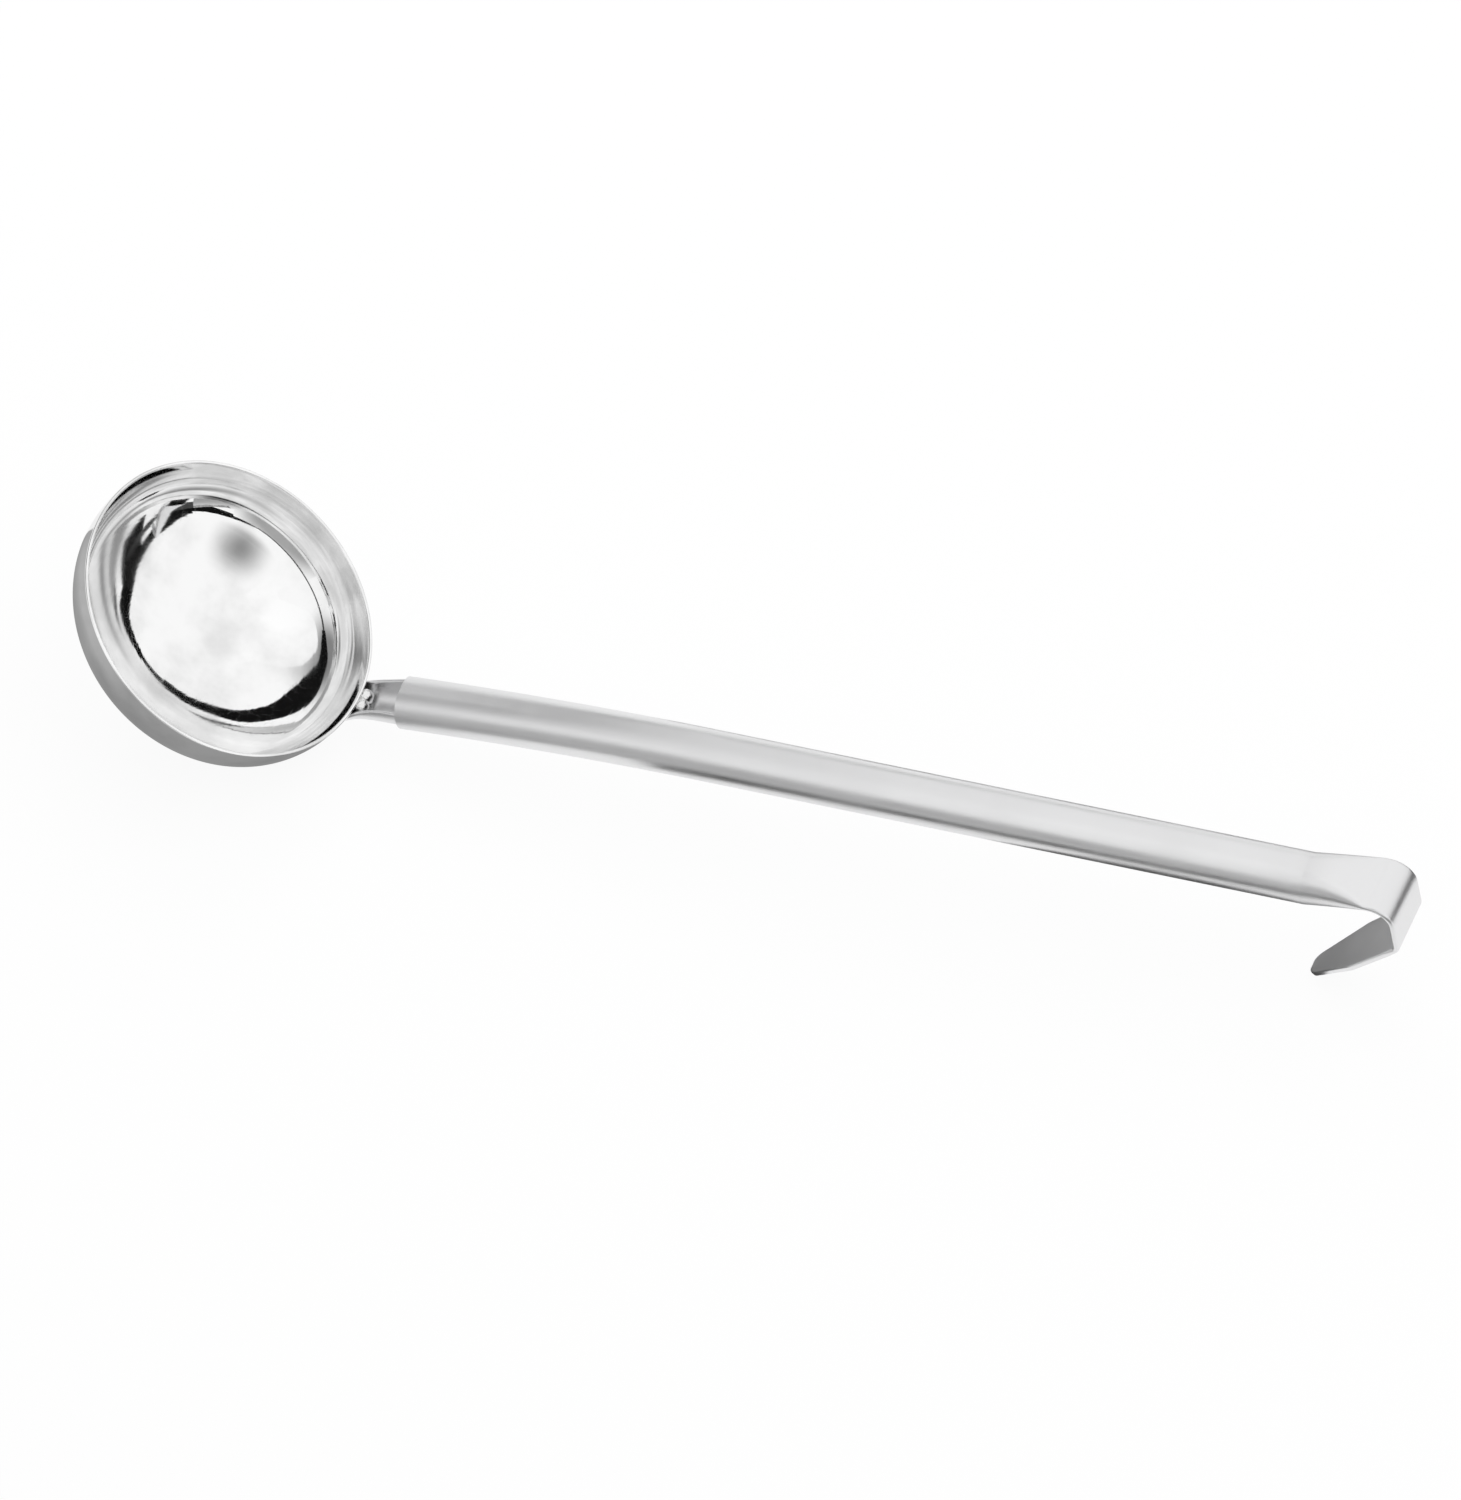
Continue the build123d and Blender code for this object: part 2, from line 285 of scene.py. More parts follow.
def makePolished():
    # Spun steel: cloudy tone and roughness, with fine rings round the axis and shallow dents as bumps
    b = bowlSettings
    material, tree, shader, coords, marks = newSteel("polishedSteel", (b["toneHigh"],) * 3, b["roughLow"])
    link = tree.links.new
    marks.inputs["Cloud Scale"].default_value = b["cloudScale"]
    tone = mapTo(tree, marks.outputs["Clouds"], b["toneHigh"], b["toneLow"], (-700, 600))
    link(tone, shader.inputs["Base Color"])
    setRoughness(tree, shader, marks, b["roughLow"], b["roughHigh"], b["roughScratch"])
    # The axis of the polishing lines is the bowl's own
    axis = addNode(tree, "ShaderNodeMapping", (-1250, -200), vector_type="TEXTURE")
    axis.inputs["Location"].default_value = (rest["rimX"] * toMetres, 0, rest["rimZ"] * toMetres)
    axis.inputs["Rotation"].default_value = (0, math.radians(rest["tilt"]), 0)
    link(coords.outputs["Object"], axis.inputs["Vector"])
    flat = addNode(tree, "ShaderNodeVectorMath", (-1050, -200), operation="MULTIPLY")
    flat.inputs[1].default_value = (1, 1, 0)
    link(axis.outputs["Vector"], flat.inputs[0])
    radius = addNode(tree, "ShaderNodeVectorMath", (-850, -200), operation="LENGTH")
    link(flat.outputs["Vector"], radius.inputs[0])
    lines = {"scale": b["spinScale"], "detail": b["spinDetail"], "socket": "W", "noise_dimensions": "1D"}
    spun = addNoise(tree, radius.outputs["Value"], (-650, -200), **lines)
    dents = addNoise(tree, axis.outputs["Vector"], (-650, -450), b["dentScale"], b["dentDetail"])
    soft = addBump(tree, shader, dents, b["dentBump"], (-350, -450))
    addBump(tree, shader, spun, b["spinBump"], (-150, -200), soft)
    return material


# Handle: tube, pressed end, hook and flap in one sweep (mm, degrees)
handleSettings = {
    "liftAngle": 43.5, "straightAngle": 37.6, "bowLength": 120.0, "straightLength": 197.0,
    "tubeWidth": 17.0, "tubeHeight": 14.0, "tubeCorner": 6.8, "tubeWall": 1.0, "mouthLength": 15.0,
    "flattenLength": 22.0, "pressWidth": 18.4, "pressHeight": 10.0, "pressCorner": 4.9, "pressRise": 2.0,
    "stripWidth": 21.0, "stripThickness": 2.0, "stripCorner": 0.95, "stripRise": 3.7, "leadLength": 1.5,
    "crownRadius": 7.2, "crownTurn": 90.0, "legLength": 9.0, "elbowRadius": 3.0, "elbowTurn": 50.0,
    "flapLength": 45.2, "flapBellyShare": 0.45, "flapBellyHalf": 9.6,
    "flapTipRadius": 4.6, "flapEdgeRound": 0.6, "flapBlend": 4, "cornerShare": 0.98,
    "perCorner": 17, "perEdge": 9, "bowCount": 70, "straightCount": 60, "pressCount": 60, "crownCount": 40,
    "legCount": 8, "elbowCount": 22, "flapCount": 50, "noseCount": 40, "hollowCount": 22, "sharpAngle": 40,
    "tone": (0.80, 0.80, 0.805), "roughLow": 0.33, "roughHigh": 0.43, "roughScratch": 0.5,
    "drawnScale": (12, 900, 900), "drawnDetail": 3, "lineBump": 0.00001,
    "grainScale": 1400, "grainDetail": 2, "grainBump": 0.00002,
}
channelSettings = {
    "wall": 1.3, "inset": 0.3, "half": 7.8, "depth": 8.9,
    "throatLength": 4.0, "throatHalf": 7.0, "throatDepth": 7.2,
    "turnDrop": 8.0, "turnStandoff": 1.2, "turnHalf": 8.2, "turnDepth": 2.8,
    "tongueDrop": 12.5, "tongueHalf": 8.8, "tongueEndDrop": 17.5,
    "tongueEndHalf": 7.0, "bite": 0.3, "along": 120, "across": 40,
    "edgeCount": 7, "edgeReach": 0.9,
}
bowTurn = math.radians(handleSettings["liftAngle"] - handleSettings["straightAngle"])
bowRadius = handleSettings["bowLength"] / bowTurn


def bowAt(length):
    # Place and direction on the gentle bow, at a length from the rim
    h = handleSettings
    angle = h["liftAngle"] - math.degrees(length / bowRadius)
    centre = stepFrom((bowlSettings["rimRadius"], 0), h["liftAngle"] - 90, bowRadius)
    return stepFrom(centre, angle + 90, bowRadius), angle


def throughThree(a, b, c, t):
    # The parabola that has the values a, b and c at 0, a half and 1
    return a * (1 - t) * (1 - 2 * t) + 4 * b * t * (1 - t) + c * t * (2 * t - 1)


def roundedRings(place, angle, half, high, corner):
    # Rounded rectangles square to the path: four corner arcs, with evenly spaced points between them
    h = handleSettings
    corner = np.minimum(corner, np.minimum(half, high) * h["cornerShare"])[:, None]
    parts = []
    for k, (sx, sy) in enumerate(((1, 1), (-1, 1), (-1, -1), (1, -1))):
        turn = np.linspace(0, math.pi / 2, h["perCorner"]) + k * math.pi / 2
        cx, cy = sx * (half[:, None] - corner), sy * (high[:, None] - corner)
        parts.append(np.stack([cx + corner * np.cos(turn), cy + corner * np.sin(turn)], -1))
    ring = []
    share = np.linspace(0, 1, h["perEdge"])[1:-1, None]
    for k in range(4):
        first, last = parts[k][:, -1:], parts[(k + 1) % 4][:, :1]
        ring += [parts[k], first + (last - first) * share[None]]
    ring = np.concatenate(ring, 1)
    side, up = ring[..., 0], ring[..., 1]
    lean = np.radians(angle)[:, None]
    return toFrame(place[:, 0:1] - up * np.sin(lean), side, place[:, 1:2] + up * np.cos(lean))


def arcPath(start, angle, radius, turn, count):
    # Points and directions along an arc that turns by an angle, negative to the right
    sign = 1 if turn > 0 else -1
    centre = stepFrom(start, angle + 90 * sign, radius)
    angles = np.linspace(angle, angle + turn, count)
    lean = np.radians(angles - 90 * sign)
    return np.stack([centre[0] + radius * np.cos(lean), centre[1] + radius * np.sin(lean)], -1), angles


def linePath(start, angle, lengths):
    # Points and directions along a line, at lengths from its start
    lean = math.radians(angle)
    places = np.stack([start[0] + lengths * math.cos(lean), start[1] + lengths * math.sin(lean)], -1)
    return places, np.full(len(lengths), angle)


def flapHalf(s):
    # Half the flap's width at a distance from the elbow: lines and arcs round its belly and its tip
    h = handleSettings
    belly, tip = h["flapLength"] * h["flapBellyShare"], h["flapLength"] - h["flapTipRadius"]
    bellyR, tipR, root = h["flapBellyHalf"], h["flapTipRadius"], h["stripWidth"] / 2
    first = math.atan2(root, -belly) - math.acos(bellyR / math.hypot(belly, root))
    second = math.acos((bellyR - tipR) / (tip - belly))
    bellyStart, bellyEnd = belly + bellyR * math.cos(first), belly + bellyR * math.cos(second)
    knots = [0, bellyStart, bellyEnd, tip + tipR * math.cos(second)]
    values = [root, bellyR * math.sin(first), bellyR * math.sin(second), tipR * math.sin(second)]
    half = np.interp(s, knots, values)
    onBelly = (s > knots[1]) & (s < knots[2])
    half = np.where(onBelly, np.sqrt(np.maximum(bellyR**2 - (s - belly) ** 2, 0)), half)
    return np.where(s > knots[3], np.sqrt(np.maximum(tipR**2 - (s - tip) ** 2, 0)), half)


def makeHandle():
    # Rounded rectangles carried along one path: bow, straight, pressed end, crown, leg, elbow and flap
    h = handleSettings
    straightAngle = h["straightAngle"]
    bow = [bowAt(s) for s in np.linspace(h["mouthLength"], h["bowLength"], h["bowCount"])]
    runs = [(np.array([p for p, _ in bow]), np.array([a for _, a in bow]))]
    along = np.linspace(0, h["straightLength"], h["straightCount"])[1:]
    runs.append(linePath(bow[-1][0], straightAngle, along))
    tubeEnd = runs[-1][0][-1]
    tubeCount = sum(len(r[1]) for r in runs)
    # Pressed end: the section and its rise follow parabolas through three sections
    t = np.linspace(0, 1, h["pressCount"])[1:]
    rise = throughThree(0, h["pressRise"], h["stripRise"], t)
    lean = math.radians(straightAngle)
    press, pressAngle = linePath(tubeEnd, straightAngle, h["flattenLength"] * t)
    press = press + rise[:, None] * np.array([-math.sin(lean), math.cos(lean)])
    crownStart = stepFrom(press[-1], straightAngle, h["leadLength"])
    crown = arcPath(crownStart, straightAngle, h["crownRadius"], -h["crownTurn"], h["crownCount"])
    crownEnd, legAngle = crown[0][-1], crown[1][-1]
    leg = linePath(crownEnd, legAngle, np.linspace(0, h["legLength"], h["legCount"])[1:-1])
    legEnd = stepFrom(crownEnd, legAngle, h["legLength"])
    elbow = arcPath(legEnd, legAngle, h["elbowRadius"], -h["elbowTurn"], h["elbowCount"])
    elbowEnd, flapAngle = elbow[0][-1], elbow[1][-1]
    tip = h["flapLength"] - h["flapTipRadius"]
    nose = tip + h["flapTipRadius"] * np.sin(np.linspace(0, math.pi / 2, h["noseCount"])[1:-1])
    s = np.concatenate([np.linspace(0, tip, h["flapCount"])[1:], nose])
    flap = linePath(elbowEnd, flapAngle, s)
    strip = [crown, leg, elbow]
    places = np.concatenate([r[0] for r in runs] + [press] + [r[0] for r in strip] + [flap[0]])
    angles = np.concatenate([r[1] for r in runs] + [pressAngle] + [r[1] for r in strip] + [flap[1]])
    stripCount = sum(len(r[1]) for r in strip)

    def wholeWay(tube, middle, end, flapValue):
        # One value for each ring: constant on the tube and the strip, and pressed in between
        pressed = throughThree(tube, middle, end, t)
        return np.concatenate([np.full(tubeCount, tube), pressed, np.full(stripCount, end), flapValue])

    edge = np.clip(h["flapEdgeRound"] - (h["flapLength"] - s), 0, None)
    thick = h["stripThickness"] / 2 - h["flapEdgeRound"] + np.sqrt(h["flapEdgeRound"] ** 2 - edge**2)
    half = wholeWay(h["tubeWidth"] / 2, h["pressWidth"] / 2, h["stripWidth"] / 2, flapHalf(s))
    high = wholeWay(h["tubeHeight"] / 2, h["pressHeight"] / 2, h["stripThickness"] / 2, thick)
    blend = np.clip(s / h["flapBlend"], 0, 1)
    flapCorner = h["stripCorner"] + (h["flapEdgeRound"] - h["stripCorner"]) * blend
    corner = wholeWay(h["tubeCorner"], h["pressCorner"], h["stripCorner"], flapCorner)
    outer = roundedRings(places, angles, half, high, corner)
    # The hollow, from inside the pressed end back to the mouth
    w, wall = tubeCount + h["hollowCount"], h["tubeWall"]
    shrink = wall + wall * np.clip((np.arange(w) - tubeCount) / h["hollowCount"], 0, 1)
    small = half[:w] - shrink, high[:w] - shrink, corner[:w] - shrink
    inner = roundedRings(places[:w], angles[:w], *small)[::-1]
    last = stepFrom(elbowEnd, flapAngle, h["flapLength"])
    poles = inner[0].mean(0), toFrame(last[0], 0.0, last[1])
    return ringMesh("handleBody", np.concatenate([inner, outer]), *poles, h["sharpAngle"])


def wallAt(drop):
    # Place on the bowl's outside at a depth below the rim, and the wall's upward direction
    r, z = bowlProfile(0, bowlSettings["fineCount"])
    x = np.interp(-drop, z, r)
    k = np.clip(np.searchsorted(z, -drop), 1, len(z) - 1)
    return np.array([x, -drop]), math.degrees(math.atan2(z[k] - z[k - 1], r[k] - r[k - 1]))


def onWall(drop, standoff):
    # The same place, moved off the wall by a distance
    place, lean = wallAt(drop)
    return stepFrom(place, lean - 90, standoff), lean


def splineThrough(t, values, at):
    # Natural cubic spline through values at t: second slopes from one linear system, then cubic pieces
    n, step = len(t), np.diff(t)
    system, right = np.eye(n), np.zeros((n, values.shape[1]))
    for k in range(1, n - 1):
        system[k, k - 1:k + 2] = step[k - 1], 2 * (step[k - 1] + step[k]), step[k]
        right[k] = 6 * ((values[k + 1] - values[k]) / step[k] - (values[k] - values[k - 1]) / step[k - 1])
    bend = np.linalg.solve(system, right)
    k = np.clip(np.searchsorted(t, at) - 1, 0, n - 2)
    a, b, d = (t[k + 1] - at)[:, None], (at - t[k])[:, None], step[k][:, None]
    cubic = (bend[k] * a**3 + bend[k + 1] * b**3) / (6 * d)
    return cubic + (values[k] / d - bend[k] * d / 6) * a + (values[k + 1] / d - bend[k + 1] * d / 6) * b


def makeChannel():
    # Arc sections carried along a spline through five stations, from the tube's mouth down the bowl's wall
    c, h = channelSettings, handleSettings

    def underTube(length):
        place, angle = bowAt(length)
        return stepFrom(place, angle - 90, h["tubeHeight"] / 2 - c["inset"]), angle

    bury = c["wall"] - c["bite"]
    (lip, lipA), (throat, throatA) = underTube(h["mouthLength"]), underTube(c["throatLength"])
    (turn, turnA) = onWall(c["turnDrop"], bury + c["turnStandoff"])
    (seat, seatA), (end, endA) = onWall(c["tongueDrop"], bury), onWall(c["tongueEndDrop"], bury)
    seatR, endR = wallAt(c["tongueDrop"])[0][0], wallAt(c["tongueEndDrop"])[0][0]
    stations = np.array([
        (*lip, lipA, c["half"], c["depth"]),
        (*throat, throatA, c["throatHalf"], c["throatDepth"]),
        (*turn, (throatA + turnA) / 2, c["turnHalf"], c["turnDepth"]),
        (*seat, seatA, c["tongueHalf"], seatR - math.sqrt(seatR**2 - c["tongueHalf"] ** 2)),
        (*end, endA, c["tongueEndHalf"], endR - math.sqrt(endR**2 - c["tongueEndHalf"] ** 2)),
    ])
    t = np.concatenate([[0], np.cumsum(np.hypot(*np.diff(stations[:, :2], axis=0).T))])
    x, z, angle, half, depth = splineThrough(t, stations, np.linspace(0, t[-1], c["along"])).T
    # Each section is a band between two arcs about one centre, over the width of the channel
    big = (half**2 + depth**2) / (2 * depth)
    reach = np.arctan2(half, big - depth)[:, None] * np.linspace(-1, 1, c["across"])
    edge = np.linspace(0, math.pi, c["edgeCount"])[1:-1]
    outer = big[:, None]
    middle = outer - c["wall"] / 2
    inner, back, blank = outer - c["wall"], reach[:, ::-1], 0 * edge + 0 * outer
    side = np.concatenate([outer * np.sin(reach), blank, inner * np.sin(back), blank], 1)
    up = np.concatenate([outer - outer * np.cos(reach), blank, outer - inner * np.cos(back), blank], 1)
    # Rounded edges: half circles across the wall at both ends of the band
    n, e, q = c["across"], len(edge), c["wall"] / 2
    for first, way, swing in ((n, 1, reach[:, -1:]), (2 * n + e, -1, reach[:, :1])):
        out, off = q * np.cos(edge if way > 0 else edge[::-1]), q * np.sin(edge) * c["edgeReach"]
        side[:, first:first + e] = (middle + out) * np.sin(swing) + way * off * np.cos(swing)
        up[:, first:first + e] = outer - (middle + out) * np.cos(swing) + way * off * np.sin(swing)
    lean = np.radians(angle)[:, None]
    px, pz = x[:, None] - up * np.sin(lean), z[:, None] + up * np.cos(lean)
    # What would come inside the bowl is pressed back to its outside
    wallR, wallZ = bowlProfile(0, bowlSettings["fineCount"])
    limit = np.where(pz > 0, bowlSettings["rimRadius"], np.interp(pz, wallZ, wallR)) - c["bite"]
    radius = np.hypot(px, side)
    scale = np.where(radius < limit, limit / radius, 1)
    rings = toFrame(px * scale, side * scale, pz)
    count, around = rings.shape[:2]
    sides = gridQuads(count, around)
    # End caps: quads across the band, and one face over each rounded edge
    k = np.arange(n - 1)
    cap = np.stack([k + 1, k, 2 * n + e - 1 - k, 2 * n + e - 2 - k], -1)
    last = (count - 1) * around
    rightEdge = np.arange(n - 1, n + e + 1)[None, ::-1]
    leftEdge = np.append(np.arange(2 * n + e - 1, around), 0)[None, ::-1]
    ends = [face for cover in (cap, rightEdge, leftEdge) for face in (cover, last + cover[:, ::-1])]
    return meshFrom("handleNeck", rings.reshape(-1, 3), [sides] + ends, h["sharpAngle"])


def makeSatin():
    # Satin steel: noise stretched along X for the drawn lines, and a fine grain under them
    h = handleSettings
    material, tree, shader, coords, marks = newSteel("satinSteel", h["tone"], h["roughLow"])
    setRoughness(tree, shader, marks, h["roughLow"], h["roughHigh"], h["roughScratch"])
    drawn = addNode(tree, "ShaderNodeMapping", (-1250, -200))
    drawn.inputs["Scale"].default_value = h["drawnScale"]
    tree.links.new(coords.outputs["Object"], drawn.inputs["Vector"])
    lines = addNoise(tree, drawn.outputs["Vector"], (-900, -200), 1, h["drawnDetail"])
    grain = addNoise(tree, coords.outputs["Object"], (-900, -450), h["grainScale"], h["grainDetail"])
    soft = addBump(tree, shader, grain, h["grainBump"], (-350, -450))
    addBump(tree, shader, lines, h["lineBump"], (-150, -200), soft)
    return material


# Weld beads (mm)
weldSettings = {
    "radius": 2.6, "spread": 2.1, "out": 1.7, "drop": 1.8, "waist": 0.9, "sideRadius": 1.1,
    "waistShare": 0.22, "leastRadius": 0.1, "ripple": 0.025, "ripples": 5, "rippleLean": 1.3,
    "sideTop": 9.5, "sideBottom": 15.5, "sideGap": 0.2, "sideOut": 0.4, "wave": 0.1, "waves": 4,
    "alongRim": 50, "aroundRim": 64, "alongSide": 60, "aroundSide": 32, "sharpAngle": 60,
    "tone": (0.80, 0.80, 0.80), "roughLow": 0.16, "roughHigh": 0.32, "roughScratch": 0.4,
    "lumpScale": 700, "lumpDetail": 3, "lumpBump": 0.0003,
}


def makeRimWeld():
    # A surface turned about a line across the ladle, its radius that of two balls with a filled waist
    w = weldSettings
    length = w["spread"] + w["radius"]
    u = np.linspace(0, math.pi, w["alongRim"])[1:-1]
    y = -length * np.cos(u)
    past = np.clip(np.abs(y) - w["spread"], 0, None)
    ball = np.sqrt(np.maximum(w["radius"] ** 2 - past**2, w["leastRadius"] ** 2))
    waist = 1 - w["waistShare"] * np.exp(-((y / w["waist"]) ** 2))
    turn = np.linspace(0, 2 * math.pi, w["aroundRim"], endpoint=False)
    ripple = 1 + w["ripple"] * np.sin(w["ripples"] * turn + y[:, None] * w["rippleLean"])
    radius = (ball * waist)[:, None] * ripple
    x0, z0 = bowlSettings["rimRadius"] + w["out"], -w["drop"]
    rings = toFrame(x0 + radius * np.cos(turn), y[:, None] + 0 * turn, z0 + radius * np.sin(turn))
    poles = toFrame(x0, -length, z0), toFrame(x0, length, z0)
    return ringMesh("rimBead", rings, *poles, w["sharpAngle"])


def makeSideWeld(name, side):
    # A bead along a line down the wall, its radius rippled like laid weld metal
    w, c = weldSettings, channelSettings
    swing = math.asin((c["tongueHalf"] + w["sideGap"]) / wallAt(c["tongueDrop"])[0][0])
    (top, _), (bottom, _) = onWall(w["sideTop"], w["sideOut"]), onWall(w["sideBottom"], w["sideOut"])
    way = (bottom - top) / np.linalg.norm(bottom - top)
    across = np.array([way[1], -way[0]])
    length = np.linalg.norm(bottom - top)
    s = np.linspace(0, 1, w["alongSide"])[1:-1]
    full = np.clip(np.minimum(s, 1 - s) * length / w["sideRadius"], 0, 1)
    waved = 1 - w["wave"] + w["wave"] * np.cos(2 * math.pi * w["waves"] * s)
    radius = w["sideRadius"] * np.sqrt(1 - (1 - full) ** 2) * waved
    turn = np.linspace(0, 2 * math.pi, w["aroundSide"], endpoint=False)
    line = top + (bottom - top) * s[:, None]
    r = line[:, 0:1] + across[0] * radius[:, None] * np.cos(turn)
    z = line[:, 1:2] + across[1] * radius[:, None] * np.cos(turn)
    off = radius[:, None] * np.sin(turn)
    cs, sn = math.cos(swing), side * math.sin(swing)
    rings = toFrame(r * cs - off * sn, r * sn + off * cs, z)
    poles = [toFrame(p[0] * cs, p[0] * sn, p[1]) for p in (top, bottom)]
    return ringMesh(name, rings, *poles, w["sharpAngle"])


def makeWeldSkin():
    # Metal as welded: cloudy roughness and small lumps
    w = weldSettings
    material, tree, shader, coords, marks = newSteel("weldMetal", w["tone"], w["roughLow"])
    setRoughness(tree, shader, marks, w["roughLow"], w["roughHigh"], w["roughScratch"])
    lumps = addNoise(tree, coords.outputs["Object"], (-650, -200), w["lumpScale"], w["lumpDetail"])
    addBump(tree, shader, lumps, w["lumpBump"], (-350, -200))
    return material


polishedSteel, satinSteel, weldMetal = makePolished(), makeSatin(), makeWeldSkin()
print("materials made")
pieces = [
    (makeBowl(), polishedSteel, "polished_steel", ["bowl"]),
    (makeHandle(), satinSteel, "satin_steel", ["handle"]),
    (makeChannel(), satinSteel, "satin_steel", ["handle"]),
    (makeRimWeld(), weldMetal, "weld_bead", ["rim_weld"]),
    (makeSideWeld("tongueBeadLeft", -1), weldMetal, "weld_bead", ["tongue_weld_left"]),
    (makeSideWeld("tongueBeadRight", 1), weldMetal, "weld_bead", ["tongue_weld_right"]),
]
for piece, material, slot, nodes in pieces:
    piece.data.materials.append(material)
    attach(piece, "root")
    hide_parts(*nodes)
print("pieces made:", [(piece.name, len(piece.data.polygons)) for piece, _, _, _ in pieces])


# Floor, world and lamps (metres, watts)
studio = {
    "floorRadius": 0.9, "floorAround": 96, "floorTone": 0.80, "floorRoughness": 0.8, "floorSpecular": 0.1,
    "whiteShare": 0.92, "roomTone": 0.80, "lampTarget": (0, 0, 0.03),
}
lamps = [
    {"name": "keyBox", "place": (-0.50, 0.70, 0.60), "size": (0.70, 0.50), "power": 2.6},
    {"name": "topBox", "place": (0.60, 0.20, 1.30), "size": (1.60, 1.60), "power": 9.0},
]
# Cards round the bowl's axis: a knot is a turn and two angles from the axis (degrees, metres)
coneCards = [
    {"name": "farRing", "reach": 0.80, "tone": 0.006, "wave": 0.5, "knots": [
        (-80, 62, 64), (-62, 59, 66), (-35, 56, 69), (5, 55, 71), (28, 56, 69), (44, 60, 67), (75, 61, 66)]},
    {"name": "nearRing", "reach": 0.45, "tone": 0.006, "wave": 0.5, "knots": [
        (75, 61, 66), (100, 60, 67), (125, 58, 69), (152, 55, 72), (172, 57, 71), (192, 61, 66)]},
    {"name": "thinRing", "reach": 0.45, "tone": 0.06, "knots": [(192, 62, 65), (281, 62, 64)]},
    {"name": "greyPatch", "reach": 0.62, "tone": 0.30, "edgeTone": 1.0, "span": (0.0, 0.24),
     "knots": [(248, 12, 58), (332, 12, 58)]},
    {"name": "greyEnd", "reach": 0.62, "tone": 0.25, "edgeTone": 1.0, "span": (0.10, 0.38),
     "knots": [(120, 30, 110), (230, 30, 110)]},
    {"name": "greyFront", "reach": 0.62, "tone": 0.40, "edgeTone": 1.0, "span": (0.20, 0.46),
     "knots": [(230, 63, 112), (300, 63, 112)]},
]
# Level cards: sectors round a middle, with turn 0 along the handle (degrees, metres)
underBowl, shadeUnderHook, overHead = (-0.1547, 0, 0.0012), (0.135, 0.045, 0.0018), (0.0, 0.03, 0.62)
flatCards = [
    {"name": "darkBack", "middle": underBowl, "turns": (9, 30), "radii": (0.12, 0.80), "tone": 0.006},
    {"name": "darkFront", "middle": underBowl, "turns": (-28, -11), "radii": (0.12, 0.80), "tone": 0.06},
    {"name": "darkSide", "middle": underBowl, "turns": (-56, -28), "radii": (0.30, 0.80), "tone": 0.06},
    # Painted shade: a dark disc on the floor under the hook, which only the metal mirrors
    {"name": "shadeUnderHook", "middle": shadeUnderHook, "turns": (0, 360), "radii": (0.001, 0.075), "tone": 0.06},
    # Painted shade: a grey floor sector, darkest beside the bowl and paler outwards, which only the metal
    # mirrors
    {"name": "paintedFloorShade", "middle": underBowl, "turns": (-205, -28), "radii": (0.012, 0.75), "tone": 0.30,
     "edgeTone": 0.72, "span": (0.02, 0.40)},
    {"name": "overHead", "middle": overHead, "turns": (0, 360), "radii": (0.001, 0.5), "tone": 1.06,
     "edgeTone": 1.0, "span": (0.05, 0.48)},
]
cardGrid = {"alongCone": 181, "acrossCone": 5, "alongFlat": 60, "acrossFlat": 4}
ripples = {"slow": 7, "fast": 17, "fastShare": 0.6}
# Camera: directions of its back and top, photo pixels to the millimetre and the rim centre's pixel
view = {
    "back": (0.2631, -0.5720, 0.7772), "up": (-0.2405, 0.7410, 0.6263), "pixelsPerMm": 3.24,
    "rimPixel": (229.3, 608.4), "frame": (1461, 1500), "distance": 2.0, "clip": (0.1, 100),
}


def whiteToEye(tree, shader, share):
    # For the camera, for metal and for glass a surface turns to plain white by a share; its shadow stays
    path = addNode(tree, "ShaderNodeLightPath", (-600, 400))
    either = addNode(tree, "ShaderNodeMath", (-400, 400), operation="MAXIMUM")
    seen = addNode(tree, "ShaderNodeMath", (-250, 400), operation="MAXIMUM")
    tree.links.new(path.outputs["Is Camera Ray"], either.inputs[0])
    tree.links.new(path.outputs["Is Glossy Ray"], either.inputs[1])
    tree.links.new(either.outputs[0], seen.inputs[0])
    tree.links.new(path.outputs["Is Transmission Ray"], seen.inputs[1])
    part = addNode(tree, "ShaderNodeMath", (-100, 400), operation="MULTIPLY")
    part.inputs[1].default_value = share
    tree.links.new(seen.outputs[0], part.inputs[0])
    white = addNode(tree, "ShaderNodeEmission", (-100, 200))
    mix = addNode(tree, "ShaderNodeMixShader", (150, 200))
    tree.links.new(part.outputs[0], mix.inputs["Fac"])
    tree.links.new(shader, mix.inputs[1])
    tree.links.new(white.outputs[0], mix.inputs[2])
    return mix.outputs[0]


def makeFloor():
    # A flat disc: one ring of points and a middle point
    s = studio
    turn = np.linspace(0, 2 * math.pi, s["floorAround"], endpoint=False)
    verts = np.stack([s["floorRadius"] * np.cos(turn), s["floorRadius"] * np.sin(turn), 0 * turn], -1)
    floor = ringMesh("floor", verts[None], endPole=(0, 0, 0))
    material = bpy.data.materials.new("paleFloor")
    material.use_nodes = True
    tree = material.node_tree
    shader = tree.nodes["Principled BSDF"]
    shader.inputs["Base Color"].default_value = (s["floorTone"],) * 3 + (1,)
    shader.inputs["Roughness"].default_value = s["floorRoughness"]
    shader.inputs["Specular IOR Level"].default_value = s["floorSpecular"]
    seen = whiteToEye(tree, shader.outputs["BSDF"], s["whiteShare"])
    tree.links.new(seen, tree.nodes["Material Output"].inputs["Surface"])
    floor.data.materials.append(material)


